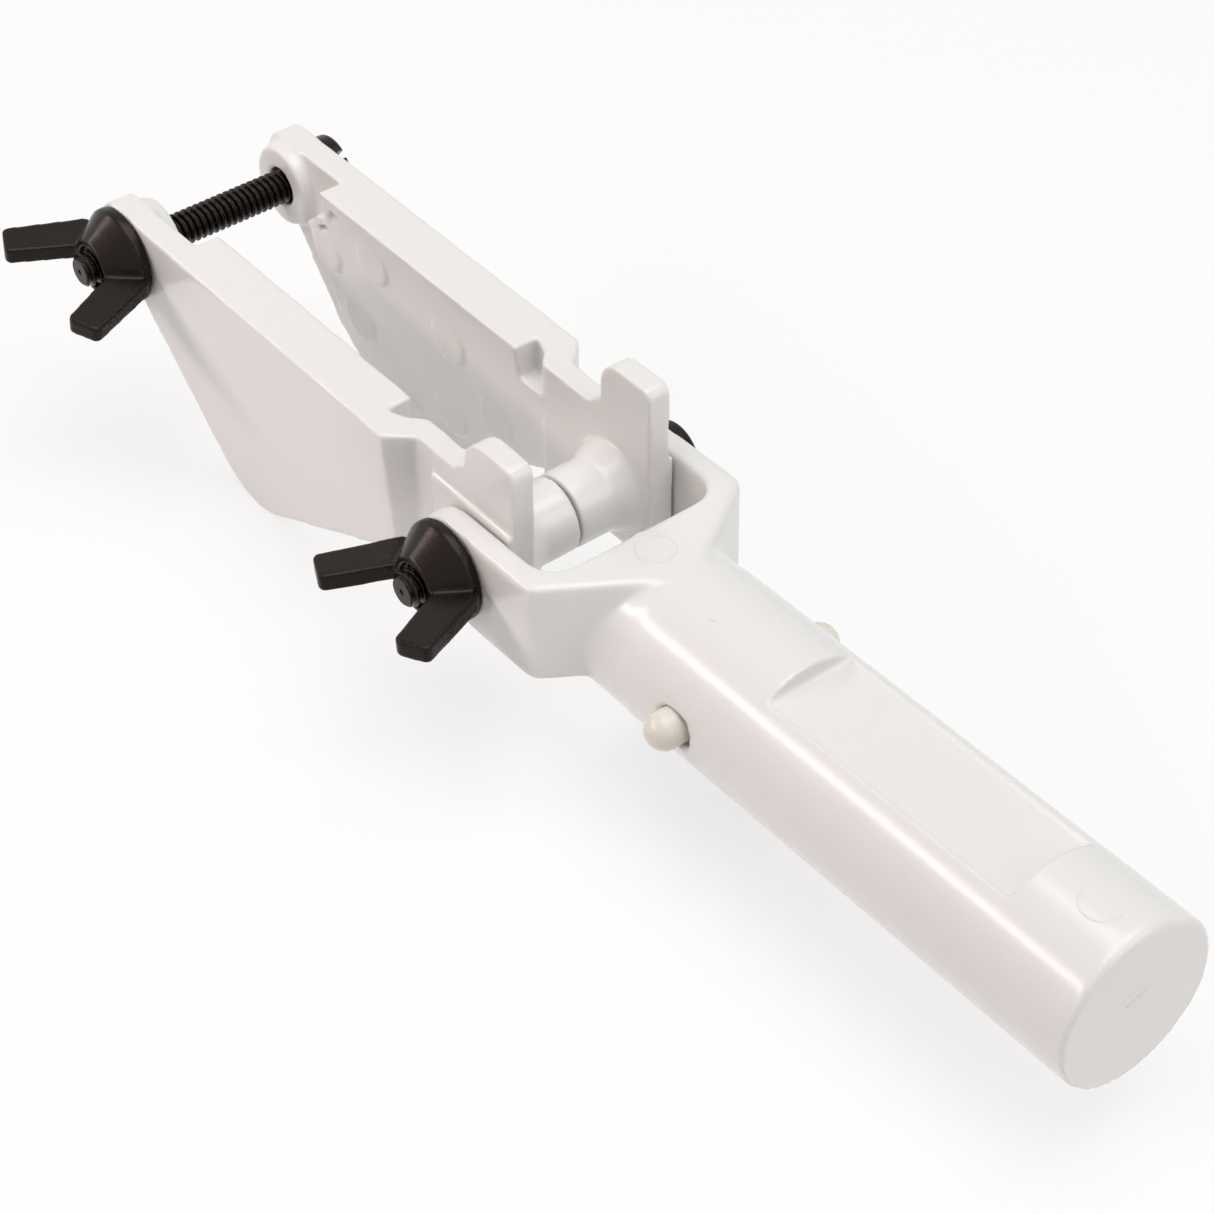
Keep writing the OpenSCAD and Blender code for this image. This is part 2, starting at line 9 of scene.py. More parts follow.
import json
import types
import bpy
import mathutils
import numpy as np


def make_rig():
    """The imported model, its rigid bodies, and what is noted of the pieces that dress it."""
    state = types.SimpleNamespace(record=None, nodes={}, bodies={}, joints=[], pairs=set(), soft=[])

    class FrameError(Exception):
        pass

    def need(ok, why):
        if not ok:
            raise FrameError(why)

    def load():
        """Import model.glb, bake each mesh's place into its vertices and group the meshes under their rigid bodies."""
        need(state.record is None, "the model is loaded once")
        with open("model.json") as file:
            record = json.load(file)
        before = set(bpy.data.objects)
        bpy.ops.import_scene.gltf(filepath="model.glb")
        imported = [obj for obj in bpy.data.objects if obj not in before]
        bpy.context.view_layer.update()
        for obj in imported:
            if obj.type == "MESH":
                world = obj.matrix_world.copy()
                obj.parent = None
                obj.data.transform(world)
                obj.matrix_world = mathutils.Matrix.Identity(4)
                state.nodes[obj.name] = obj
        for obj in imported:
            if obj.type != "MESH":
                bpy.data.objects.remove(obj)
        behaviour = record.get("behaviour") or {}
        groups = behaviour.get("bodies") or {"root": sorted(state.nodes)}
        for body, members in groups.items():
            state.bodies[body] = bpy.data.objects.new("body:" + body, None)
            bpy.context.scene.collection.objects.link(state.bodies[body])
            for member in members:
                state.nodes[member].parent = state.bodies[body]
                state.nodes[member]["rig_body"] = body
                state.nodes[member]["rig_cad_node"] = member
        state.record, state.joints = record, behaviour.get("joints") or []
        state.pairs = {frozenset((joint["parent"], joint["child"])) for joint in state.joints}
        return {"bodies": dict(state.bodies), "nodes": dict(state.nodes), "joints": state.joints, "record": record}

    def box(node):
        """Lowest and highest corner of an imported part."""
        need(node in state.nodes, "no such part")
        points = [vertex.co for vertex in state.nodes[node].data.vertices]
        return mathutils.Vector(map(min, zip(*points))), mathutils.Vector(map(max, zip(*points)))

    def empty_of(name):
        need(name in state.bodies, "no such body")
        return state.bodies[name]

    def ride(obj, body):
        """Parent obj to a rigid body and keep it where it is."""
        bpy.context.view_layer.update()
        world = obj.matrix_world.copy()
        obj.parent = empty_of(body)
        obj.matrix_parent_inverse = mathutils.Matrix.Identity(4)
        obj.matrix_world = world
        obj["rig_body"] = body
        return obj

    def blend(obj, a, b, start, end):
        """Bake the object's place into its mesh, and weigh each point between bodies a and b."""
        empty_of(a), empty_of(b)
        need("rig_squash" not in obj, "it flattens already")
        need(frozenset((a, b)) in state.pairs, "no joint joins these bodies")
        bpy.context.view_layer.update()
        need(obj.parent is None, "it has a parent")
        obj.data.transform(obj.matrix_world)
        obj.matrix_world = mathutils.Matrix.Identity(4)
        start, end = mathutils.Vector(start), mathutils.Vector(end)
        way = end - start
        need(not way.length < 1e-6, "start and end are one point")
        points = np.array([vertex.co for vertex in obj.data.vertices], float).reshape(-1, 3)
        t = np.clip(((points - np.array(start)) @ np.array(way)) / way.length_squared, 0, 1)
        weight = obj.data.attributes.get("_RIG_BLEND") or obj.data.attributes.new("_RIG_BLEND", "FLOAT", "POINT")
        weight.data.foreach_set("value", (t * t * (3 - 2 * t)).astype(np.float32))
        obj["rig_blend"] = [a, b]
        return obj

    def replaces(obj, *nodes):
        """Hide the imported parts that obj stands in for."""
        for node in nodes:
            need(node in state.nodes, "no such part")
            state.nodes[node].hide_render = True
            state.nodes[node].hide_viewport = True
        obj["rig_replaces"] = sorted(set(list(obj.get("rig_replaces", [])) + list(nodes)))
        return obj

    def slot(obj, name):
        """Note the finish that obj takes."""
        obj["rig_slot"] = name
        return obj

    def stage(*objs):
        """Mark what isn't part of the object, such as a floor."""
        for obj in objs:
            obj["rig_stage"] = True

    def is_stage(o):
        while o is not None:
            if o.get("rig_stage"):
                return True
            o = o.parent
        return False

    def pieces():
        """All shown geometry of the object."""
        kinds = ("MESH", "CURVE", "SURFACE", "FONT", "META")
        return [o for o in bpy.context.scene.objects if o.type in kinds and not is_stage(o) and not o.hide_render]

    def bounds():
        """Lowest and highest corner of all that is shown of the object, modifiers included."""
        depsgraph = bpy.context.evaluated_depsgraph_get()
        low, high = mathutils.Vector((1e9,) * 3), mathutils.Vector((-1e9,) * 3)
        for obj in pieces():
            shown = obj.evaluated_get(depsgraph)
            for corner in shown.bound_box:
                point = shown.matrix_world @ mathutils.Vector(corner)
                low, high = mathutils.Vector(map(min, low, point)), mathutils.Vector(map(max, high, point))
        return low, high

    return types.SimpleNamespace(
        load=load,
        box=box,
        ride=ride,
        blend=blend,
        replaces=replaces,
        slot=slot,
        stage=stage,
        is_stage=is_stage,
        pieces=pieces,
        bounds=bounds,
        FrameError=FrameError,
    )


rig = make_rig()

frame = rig.load()
CAD_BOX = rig.bounds()

import json
import logging
import math
from dataclasses import dataclass, field
from enum import Enum
from typing import Any

import bmesh
import bpy
import numpy as np
from mathutils import Matrix, Vector
from mathutils.bvhtree import BVHTree

LOG = logging.getLogger("sander_head")
MM = 0.001
WHITE = (1.0, 1.0, 1.0, 1.0)
Tint = tuple[float, float, float]


# --------------------------------------------------------------- materials


class Graph:
    """A material's node tree, with short calls to add and to join nodes."""

    def __init__(self, tree: bpy.types.NodeTree) -> None:
        """Empties the tree.

        Args:
            tree: The node tree of a material or of the world.
        """
        self.tree = tree
        tree.nodes.clear()

    def add(self, kind: str, inputs: dict[Any, Any] | None = None,
            **settings: Any) -> bpy.types.Node:
        """Adds one node.

        Args:
            kind: The node's type name.
            inputs: Socket name or number, and a value or another node's
                output socket to join it to.
            **settings: The node's own properties.

        Returns:
            The new node.
        """
        node = self.tree.nodes.new(kind)
        for key, value in settings.items():
            setattr(node, key, value)
        for key, value in (inputs or {}).items():
            if isinstance(value, bpy.types.NodeSocket):
                self.tree.links.new(value, node.inputs[key])
            else:
                node.inputs[key].default_value = value
        return node

    def noise(self, at: bpy.types.NodeSocket, scale: float,
              detail: float = 2.0, roughness: float = 0.5) -> bpy.types.NodeSocket:
        """Adds a noise pattern.

        Args:
            at: The coordinates.
            scale: Cells per metre.
            detail: How many finer layers are added.
            roughness: How strong those layers are.

        Returns:
            The pattern's value, 0 to 1.
        """
        node = self.add("ShaderNodeTexNoise", {
            "Vector": at, "Scale": scale, "Detail": detail,
            "Roughness": roughness})
        return node.outputs[0]

    def spread(self, value: bpy.types.NodeSocket, low: float, high: float,
               to_low: float, to_high: float) -> bpy.types.NodeSocket:
        """Stretches a value from one range to another and clamps it.

        Args:
            value: The value.
            low: The value that becomes to_low.
            high: The value that becomes to_high.
            to_low: The new range's start.
            to_high: The new range's end.

        Returns:
            The stretched value.
        """
        node = self.add("ShaderNodeMapRange", {
            "Value": value, "From Min": low, "From Max": high,
            "To Min": to_low, "To Max": to_high})
        return node.outputs[0]

    def mix(self, share: bpy.types.NodeSocket | float, a: Any,
            b: Any) -> bpy.types.NodeSocket:
        """Blends two colours.

        Args:
            share: The share of b, 0 to 1.
            a: The colour at share 0.
            b: The colour at share 1.

        Returns:
            The blended colour.
        """
        node = self.add("ShaderNodeMix", {0: share, 6: a, 7: b},
                        data_type="RGBA")
        return node.outputs[2]

    def maths(self, operation: str, a: Any, b: Any) -> bpy.types.NodeSocket:
        """Joins two values with a sum, product or other operation.

        Args:
            operation: The operation's name.
            a: The first value or socket.
            b: The second value or socket.

        Returns:
            The result.
        """
        node = self.add("ShaderNodeMath", {0: a, 1: b}, operation=operation)
        return node.outputs[0]


@dataclass(frozen=True)
class Moulded:
    """Injection-moulded plastic: clear base colour, orange peel, soft edges.

    The colour drifts slowly between two near tones, with sparse specks of
    dirt. The gloss follows a fine orange peel, laid over broad shallow waves
    where the plastic shrank.
    """

    name: str
    colour: Tint
    drift: Tint
    dirt: Tint
    roughness: float
    roughness_spread: float
    specular: float
    peel_size: float
    peel_height: float
    wave_size: float
    wave_height: float
    speck_size: float
    speck_share: float
    edge_radius: float = 0.0
    subsurface: float = 0.0
    subsurface_depth: float = 0.0
    subsurface_spread: Tint = (1.0, 0.75, 0.6)
    gloss_tint: Tint = (1.0, 1.0, 1.0)

    def material(self) -> bpy.types.Material:
        """Returns the finished material."""
        material = bpy.data.materials.new(self.name)
        material.use_nodes = True
        graph = Graph(material.node_tree)
        place = graph.add("ShaderNodeTexCoord").outputs["Object"]
        clouds = graph.noise(place, 1 / (12 * self.wave_size), 3.0)
        colour = graph.mix(graph.spread(clouds, 0.35, 0.65, 0, 1),
                           (*self.colour, 1), (*self.drift, 1))
        specks = graph.noise(place, 1 / self.speck_size, 4.0, 0.65)
        speck = graph.spread(specks, 1 - self.speck_share,
                             1.04 - self.speck_share, 0, 1)
        colour = graph.mix(speck, colour, (*self.dirt, 1))

        peel = graph.noise(place, 1 / self.peel_size, 2.0)
        waves = graph.noise(place, 1 / self.wave_size, 1.0)
        gloss = graph.spread(graph.maths("ADD", peel, clouds), 0.7, 1.3,
                             self.roughness - self.roughness_spread,
                             self.roughness + self.roughness_spread)
        wavy = graph.add("ShaderNodeBump", {
            "Strength": 1.0, "Distance": self.wave_height,
            "Height": waves})
        if self.edge_radius:
            round_edge = graph.add("ShaderNodeBevel",
                                   {"Radius": self.edge_radius}, samples=6)
            graph.tree.links.new(round_edge.outputs[0],
                                 wavy.inputs["Normal"])
        peeled = graph.add("ShaderNodeBump", {
            "Strength": 1.0, "Distance": self.peel_height,
            "Height": peel, "Normal": wavy.outputs[0]})
        shader = graph.add("ShaderNodeBsdfPrincipled", {
            "Base Color": colour, "Roughness": gloss,
            "Normal": peeled.outputs[0]})
        shader.inputs["Specular IOR Level"].default_value = self.specular
        shader.inputs["Specular Tint"].default_value = (*self.gloss_tint, 1)
        if self.subsurface:
            shader.inputs["Subsurface Weight"].default_value = self.subsurface
            shader.inputs["Subsurface Scale"].default_value = (
                self.subsurface_depth)
            shader.inputs["Subsurface Radius"].default_value = (
                self.subsurface_spread)
        graph.add("ShaderNodeOutputMaterial",
                  {"Surface": shader.outputs[0]})
        return material


@dataclass(frozen=True)
class Steel:
    """Bright spring steel strip with fine lengthways rolling marks."""

    name: str
    colour: Tint = (0.56, 0.55, 0.53)
    tarnish: Tint = (0.33, 0.30, 0.27)
    roughness: float = 0.32
    mark_size: float = 0.4 * MM
    mark_depth: float = 0.008 * MM
    mark_stretch: float = 0.05

    def material(self) -> bpy.types.Material:
        """Returns the finished material."""
        material = bpy.data.materials.new(self.name)
        material.use_nodes = True
        graph = Graph(material.node_tree)
        place = graph.add("ShaderNodeTexCoord").outputs["Object"]
        along = graph.add("ShaderNodeMapping", {
            "Vector": place, "Scale": (self.mark_stretch, 1.0, 1.0)})
        marks = graph.noise(along.outputs[0], 1 / self.mark_size, 3.0)
        stain = graph.noise(place, 160.0, 4.0)
        colour = graph.mix(graph.spread(stain, 0.5, 0.75, 0, 0.7),
                           (*self.colour, 1), (*self.tarnish, 1))
        bump = graph.add("ShaderNodeBump", {
            "Strength": 1.0, "Distance": self.mark_depth, "Height": marks})
        shader = graph.add("ShaderNodeBsdfPrincipled", {
            "Base Color": colour, "Metallic": 1.0,
            "Roughness": graph.spread(marks, 0.3, 0.7, self.roughness - 0.08,
                                      self.roughness + 0.1),
            "Normal": bump.outputs[0]})
        graph.add("ShaderNodeOutputMaterial",
                  {"Surface": shader.outputs[0]})
        return material


class Finish(Enum):
    """The finishes of the head's pieces."""

    WHITE_PLASTIC = Moulded(
        name="white_plastic", colour=(0.79, 0.775, 0.76),
        drift=(0.81, 0.797, 0.783), dirt=(0.74, 0.715, 0.69),
        roughness=0.21, roughness_spread=0.03, specular=0.5,
        peel_size=1.3 * MM, peel_height=0.003 * MM, wave_size=11 * MM,
        wave_height=0.04 * MM, speck_size=0.9 * MM, speck_share=0.18,
        subsurface=0.12, subsurface_depth=1.2 * MM)
    IVORY_PLASTIC = Moulded(
        name="ivory_plastic", colour=(0.73, 0.69, 0.62),
        drift=(0.76, 0.72, 0.655), dirt=(0.62, 0.56, 0.47),
        roughness=0.27, roughness_spread=0.05, specular=0.5,
        edge_radius=0.2 * MM, peel_size=0.7 * MM, peel_height=0.004 * MM,
        wave_size=3 * MM, wave_height=0.015 * MM, speck_size=0.9 * MM,
        speck_share=0.25, subsurface=0.35, subsurface_depth=1.5 * MM)
    BLACK_NYLON = Moulded(
        name="black_nylon", colour=(0.0056, 0.0036, 0.0028),
        drift=(0.0085, 0.0058, 0.0046), dirt=(0.028, 0.021, 0.017),
        roughness=0.26, roughness_spread=0.06, specular=0.2,
        peel_size=0.45 * MM, peel_height=0.012 * MM, wave_size=2.6 * MM,
        wave_height=0.03 * MM, speck_size=0.35 * MM, speck_share=0.27,
        gloss_tint=(1.0, 0.83, 0.77))
    SPRING_STEEL = Steel(name="spring_steel")

    def material(self) -> bpy.types.Material:
        """Returns this finish's material, which is made only once."""
        found = bpy.data.materials.get(self.value.name + "_finish")
        if found is None:
            found = self.value.material()
            found.name = self.value.name + "_finish"
        return found


# ---------------------------------------------------------- image points


@dataclass(frozen=True)
class ImagePoint:
    """A place in the photograph and the way its own place is found.

    side is left, right, top or bottom for an edge of the whole object. Else
    piece names the piece whose shown middle the point is, end_of names the
    screw whose threaded end's middle it is, or spot is the feature's place on
    the object.
    """

    name: str
    x: float | None = None
    y: float | None = None
    side: str = ""
    piece: str = ""
    end_of: str = ""
    spot: tuple[float, float, float] | None = None


POINTS = [
    ImagePoint("object_left", x=2, side="left"),
    ImagePoint("object_right", x=1213, side="right"),
    ImagePoint("object_top", y=125, side="top"),
    ImagePoint("object_bottom", y=1089, side="bottom"),
    ImagePoint("near_button", 666, 730, piece="near_snap_button_moulded"),
    ImagePoint("far_button", 829, 632, piece="far_snap_button_moulded"),
    ImagePoint("pivot_screw_end", 400, 590, end_of="pivot_bolt"),
    ImagePoint("clamp_screw_end", 79, 273, end_of="clamp_bolt"),
    ImagePoint("recess_rear_near", 1003, 902,
               spot=(18 * MM, 8.1 * MM, 11.4 * MM)),
    ImagePoint("recess_rear_far", 1092, 846,
               spot=(18 * MM, -8.1 * MM, 11.4 * MM)),
    ImagePoint("recess_front_near", 770, 705,
               spot=(68.2 * MM, 8.1 * MM, 11.4 * MM)),
    ImagePoint("recess_front_far", 848, 655,
               spot=(68.2 * MM, -8.1 * MM, 11.4 * MM)),
    ImagePoint("fork_ring", 656, 549, piece="fork_ring"),
    ImagePoint("shank_ring", 1103, 902, piece="shank_ring"),
    ImagePoint("fork_speck", 714, 621, piece="fork_speck"),
    ImagePoint("gate_scar", 1137, 998, piece="gate_scar"),
]


# ------------------------------------------------------------------ meshes


def grid_mesh(name: str, points: np.ndarray) -> bpy.types.Object:
    """Makes an object from a grid of points, each row a closed loop.

    Args:
        name: The object's name.
        points: Array of rows x columns x 3, neighbours joined by quads.

    Returns:
        The object, its doubles merged and its faces pointing outwards.
    """
    rows, columns = points.shape[:2]
    corner = np.arange(rows * columns).reshape(rows, columns)
    corner = np.concatenate([corner, corner[:, :1]], axis=1)
    quads = np.stack([corner[:-1, :-1], corner[:-1, 1:],
                      corner[1:, 1:], corner[1:, :-1]], axis=-1)
    mesh = bpy.data.meshes.new(name)
    mesh.from_pydata(points.reshape(-1, 3), [], quads.reshape(-1, 4))
    obj = bpy.data.objects.new(name, mesh)
    bpy.context.scene.collection.objects.link(obj)
    tidy_mesh(mesh)
    return obj


def tidy_mesh(mesh: bpy.types.Mesh) -> None:
    """Merges doubles, drops collapsed faces and turns all faces outwards.

    Args:
        mesh: The mesh to change; its faces are then shaded smooth.
    """
    work = bmesh.new()
    work.from_mesh(mesh)
    bmesh.ops.remove_doubles(work, verts=work.verts, dist=1e-7)
    bmesh.ops.dissolve_degenerate(work, edges=work.edges, dist=1e-8)
    bmesh.ops.recalc_face_normals(work, faces=work.faces)
    for face in work.faces:
        face.smooth = True
    work.to_mesh(mesh)
    work.free()


def close_ends(obj: bpy.types.Object) -> None:
    """Closes the open ends of a grid's surface with faces.

    Args:
        obj: The grid's object.
    """
    work = bmesh.new()
    work.from_mesh(obj.data)
    loose = [edge for edge in work.edges if edge.is_boundary]
    bmesh.ops.holes_fill(work, edges=loose, sides=0)
    bmesh.ops.recalc_face_normals(work, faces=work.faces)
    work.to_mesh(obj.data)
    work.free()


def freeze(obj: bpy.types.Object) -> None:
    """Applies an object's modifiers to its mesh.

    Args:
        obj: The object.
    """
    bpy.context.view_layer.update()
    done = obj.evaluated_get(bpy.context.evaluated_depsgraph_get())
    mesh = bpy.data.meshes.new_from_object(done)
    obj.modifiers.clear()
    old = obj.data
    obj.data = mesh
    mesh.name = obj.name
    bpy.data.meshes.remove(old)


def welded_copy(node: str, name: str) -> bpy.types.Object:
    """Copies a CAD node's mesh and joins its triangles.

    Args:
        node: The CAD node, which is left as it is.
        name: The new object's name.

    Returns:
        The new object.
    """
    source = frame["nodes"][node]
    mesh = bpy.data.meshes.new(name)
    corners = np.empty(len(source.data.loops), dtype=int)
    source.data.loops.foreach_get("vertex_index", corners)
    mesh.from_pydata(mesh_points(source.data), [], corners.reshape(-1, 3))
    obj = bpy.data.objects.new(name, mesh)
    bpy.context.scene.collection.objects.link(obj)
    work = bmesh.new()
    work.from_mesh(mesh)
    bmesh.ops.remove_doubles(work, verts=work.verts, dist=2e-6)
    work.to_mesh(mesh)
    work.free()
    return obj


def mesh_points(mesh: bpy.types.Mesh) -> np.ndarray:
    """Reads a mesh's points.

    Args:
        mesh: The mesh.

    Returns:
        The points, n x 3.
    """
    spots = np.empty(len(mesh.vertices) * 3)
    mesh.vertices.foreach_get("co", spots)
    return spots.reshape(-1, 3)


def paint_piece(obj: bpy.types.Object, finish: Finish) -> None:
    """Gives a new piece its finish and its record slot.

    Args:
        obj: The piece.
        finish: Its finish, named as in the record's slots.
    """
    obj.data.materials.clear()
    obj.data.materials.append(finish.material())
    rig.slot(obj, finish.value.name)
    LOG.info("%s: %d faces in %s", obj.name, len(obj.data.polygons),
             finish.value.name)


def finish_piece(obj: bpy.types.Object, body: str, finish: Finish) -> None:
    """Gives a new piece its finish, its record slot and its body.

    Args:
        obj: The piece, in place.
        body: The CAD body that it moves with.
        finish: Its finish, named as in the record's slots.
    """
    paint_piece(obj, finish)
    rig.ride(obj, body)


# ------------------------------------------------------------------ pieces


@dataclass
class ThreadedScrew:
    """A slotted nylon screw along Y, with its head on the far side."""

    node: str
    body: str
    crest_radius: float = 3.1 * MM
    thread_depth: float = 0.70 * MM
    pitch: float = 1.27 * MM
    head_radius: float = 5.7 * MM
    head_height: float = 4.2 * MM
    head_side: float = 3.15 * MM
    crown_width: float = 1.5 * MM
    seat_chamfer: float = 0.25 * MM
    slot_width: float = 1.5 * MM
    slot_depth: float = 1.7 * MM
    slot_turn: float = 0.0
    jaw_pitch: float = 1.5
    end_chamfer: float = 0.75 * MM
    dimple_radius: float = 0.55 * MM
    dimple_depth: float = 0.3 * MM
    crest_share: float = 0.16
    flank_share: float = 0.66
    sides: int = 72
    steps: int = 14

    def build(self) -> bpy.types.Object:
        """Builds the screw and hides the CAD node that it stands for.

        The surface is turned about the screw's axis: a point at angle a and
        place y along the axis lies at radius r(a, y). On the head and the end
        r depends on y alone. On the thread r falls from crest to root and
        back once a pitch, and the fall's start advances one pitch a turn.

        Returns:
            The screw.
        """
        low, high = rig.box(self.node)
        under_head = low.y + self.head_height
        rows = self.head_rows(low.y, under_head)
        plain = len(rows)
        along = np.arange(under_head, high.y, self.pitch / self.steps)
        rows += [(self.crest_radius, y) for y in along]
        threaded_end = len(rows)
        tip = self.crest_radius - self.end_chamfer
        rows += [(tip, high.y), (self.dimple_radius, high.y),
                 (self.dimple_radius * 0.7, high.y - self.dimple_depth),
                 (0.0, high.y - self.dimple_depth * 0.6)]
        base, place = np.array(rows).T
        turn = np.linspace(0, 2 * np.pi, self.sides, endpoint=False)
        radius = np.repeat(base[:, None], self.sides, axis=1)
        cut = slice(plain, threaded_end)
        radius[cut] = self.thread(turn[None, :], place[cut, None])
        room = tip + (high.y - place[cut, None]) * 1.1
        radius[cut] = np.minimum(radius[cut], room)
        axis = (low + high) / 2
        points = np.stack([
            axis.x + radius * np.sin(turn),
            np.repeat(place[:, None], self.sides, axis=1),
            axis.z + radius * np.cos(turn)], axis=-1)
        screw = grid_mesh(self.node + "_threaded", points)
        self.cut_slot(screw, low.y, axis)
        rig.replaces(screw, self.node)
        finish_piece(screw, self.body, Finish.BLACK_NYLON)
        return screw

    def head_rows(self, top: float, under: float) -> list[tuple[float, float]]:
        """Returns the head's outline, its crown an arc of an ellipse.

        Args:
            top: Y of the head's outer face.
            under: Y of the head's seat.

        Returns:
            Radius and Y of each row, from the axis to the thread.
        """
        crown = self.head_height - self.head_side
        rise = np.linspace(0, np.pi / 2, 9)
        flat = self.head_radius - self.crown_width
        arc = [(flat + (self.head_radius - flat) * math.sin(a),
                top + crown * (1 - math.cos(a))) for a in rise]
        return [(0.0, top), (flat * 0.5, top), *arc,
                (self.head_radius, under - self.seat_chamfer),
                (self.head_radius - self.seat_chamfer, under),
                (self.crest_radius, under)]

    def thread(self, turn: np.ndarray, place: np.ndarray) -> np.ndarray:
        """Returns the thread's radius at an angle and a place along Y.

        Within each pitch the crest takes crest_share, the two flanks together
        flank_share and the root what is left.

        Args:
            turn: The angles about the axis, in radians.
            place: The places along Y.
        """
        phase = (place / self.pitch - turn / (2 * np.pi)) % 1.0
        off_crest = np.abs(phase - 0.5) * 2 - self.crest_share
        flank = np.clip(off_crest / self.flank_share, 0, 1)
        flank = flank * flank * (3 - 2 * flank)
        return self.crest_radius - self.thread_depth * flank

    def cut_slot(self, screw: bpy.types.Object, top: float,
                 axis: Vector) -> None:
        """Cuts the driver slot across the head.

        Args:
            screw: The screw.
            top: Y of the head's outer face.
            axis: A point on the screw's axis.
        """
        half = Vector((self.head_radius * 1.3, self.slot_depth,
                       self.slot_width / 2))
        work = bmesh.new()
        bmesh.ops.create_cube(work, size=2.0)
        turn = Matrix.Rotation(
            math.radians(self.slot_turn - self.jaw_pitch), 4, "Y")
        place = Matrix.Translation((axis.x, top, axis.z))
        bmesh.ops.transform(work, verts=work.verts,
                            matrix=place @ turn @ Matrix.Diagonal(
                                (*half, 1)))
        mesh = bpy.data.meshes.new("slot_cutter")
        work.to_mesh(mesh)
        work.free()
        cutter = bpy.data.objects.new("slot_cutter", mesh)
        bpy.context.scene.collection.objects.link(cutter)
        cut = screw.modifiers.new("slot", "BOOLEAN")
        cut.operation, cut.solver = "DIFFERENCE", "EXACT"
        cut.object = cutter
        freeze(screw)
        bpy.data.objects.remove(cutter)
        bpy.data.meshes.remove(mesh)
        screw.data.set_sharp_from_angle(angle=math.radians(40))


@dataclass
class MouldedPiece:
    """A moulded piece: its CAD node's surface with rounded edges."""

    node: str
    body: str
    finish: Finish
    voxel: float
    rounds: int

    def build(self) -> bpy.types.Object:
        """Builds the piece and hides the CAD node that it stands for.

        The CAD surface is laid anew in even squares. Then, round by round,
        each point moves part of the way to the mean of its neighbours. That
        leaves flat and gently curved faces where they are and rounds edges.

        Returns:
            The piece.
        """
        piece = welded_copy(self.node, self.node + "_moulded")
        remesh = piece.modifiers.new("squares", "REMESH")
        remesh.mode = "VOXEL"
        remesh.voxel_size = self.voxel
        remesh.use_smooth_shade = True
        freeze(piece)
        spots = mesh_points(piece.data)
        edges = np.empty(len(piece.data.edges) * 2, dtype=int)
        piece.data.edges.foreach_get("vertices", edges)
        spots = self.soften(self.true_up(spots), edges.reshape(-1, 2))
        piece.data.vertices.foreach_set("co", spots.ravel())
        piece.data.update()
        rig.replaces(piece, self.node)
        finish_piece(piece, self.body, self.finish)
        return piece

    def true_up(self, spots: np.ndarray) -> np.ndarray:
        """Returns the points moved onto the surface that facets stand for.

        Args:
            spots: The points, n x 3.
        """
        return spots

    def shares(self, spots: np.ndarray) -> list[np.ndarray]:
        """Returns, for each round, the share of the way each point moves.

        Args:
            spots: The points, n x 3.
        """
        return [np.full(len(spots), 0.5)] * self.rounds

    def soften(self, spots: np.ndarray, edges: np.ndarray) -> np.ndarray:
        """Returns the points after all rounds of moving to their neighbours.

        Args:
            spots: The points, n x 3.
            edges: Pairs of neighbouring points.
        """
        ends = np.concatenate([edges, edges[:, ::-1]])
        degree = np.bincount(ends[:, 0], minlength=len(spots))[:, None]
        for share in self.shares(spots):
            mean = np.stack([
                np.bincount(ends[:, 0], spots[ends[:, 1], axis], len(spots))
                for axis in range(3)], axis=-1) / np.maximum(degree, 1)
            spots = spots + share[:, None] * (mean - spots)
        return spots


@dataclass
class Yoke(MouldedPiece):
    """Shank and fork in one: crisp on the shank, softer on the fork."""

    node: str = "yoke_shank"
    body: str = "fork"
    finish: Finish = Finish.WHITE_PLASTIC
    voxel: float = 0.44 * MM
    rounds: int = 1
    shank_radius: float = 14.3 * MM
    least_radius: float = 14.03 * MM
    most_radius: float = 14.4 * MM
    neck_end: float = 96.0 * MM
    rim: float = 1.8 * MM
    fork_rounds: int = 16
    fork_start: float = 88.0 * MM
    fork_full: float = 97.0 * MM

    def true_up(self, spots: np.ndarray) -> np.ndarray:
        """Returns the points with the shank made truly round.

        A point between the rim and the neck's end that is nearly at the
        shank's radius moves straight away from the X axis or towards it,
        until it lies at that radius.

        Args:
            spots: The points, n x 3.
        """
        radius = np.hypot(spots[:, 1], spots[:, 2])
        facet = ((spots[:, 0] > self.rim) & (spots[:, 0] < self.neck_end)
                 & (radius > self.least_radius)
                 & (radius < self.most_radius))
        grown = np.where(facet, self.shank_radius / np.maximum(radius, MM), 1)
        return spots * np.stack([np.ones(len(spots)), grown, grown], axis=-1)

    def shares(self, spots: np.ndarray) -> list[np.ndarray]:
        """Adds rounds that only move the fork, from nothing to full along X.

        Args:
            spots: The points, n x 3.
        """
        way = (spots[:, 0] - self.fork_start) / (
            self.fork_full - self.fork_start)
        way = np.clip(way, 0, 1)
        fork = 0.5 * way * way * (3 - 2 * way)
        return super().shares(spots) + [fork] * self.fork_rounds


@dataclass
class Jaw(MouldedPiece):
    """One jaw."""

    finish: Finish = Finish.WHITE_PLASTIC
    voxel: float = 0.36 * MM
    rounds: int = 4


@dataclass
class SnapButton(MouldedPiece):
    """One snap button."""

    finish: Finish = Finish.IVORY_PLASTIC
    voxel: float = 0.17 * MM
    rounds: int = 3


@dataclass
class WingNut(MouldedPiece):
    """One wing nut."""

    finish: Finish = Finish.BLACK_NYLON
    voxel: float = 0.22 * MM
    rounds: int = 9


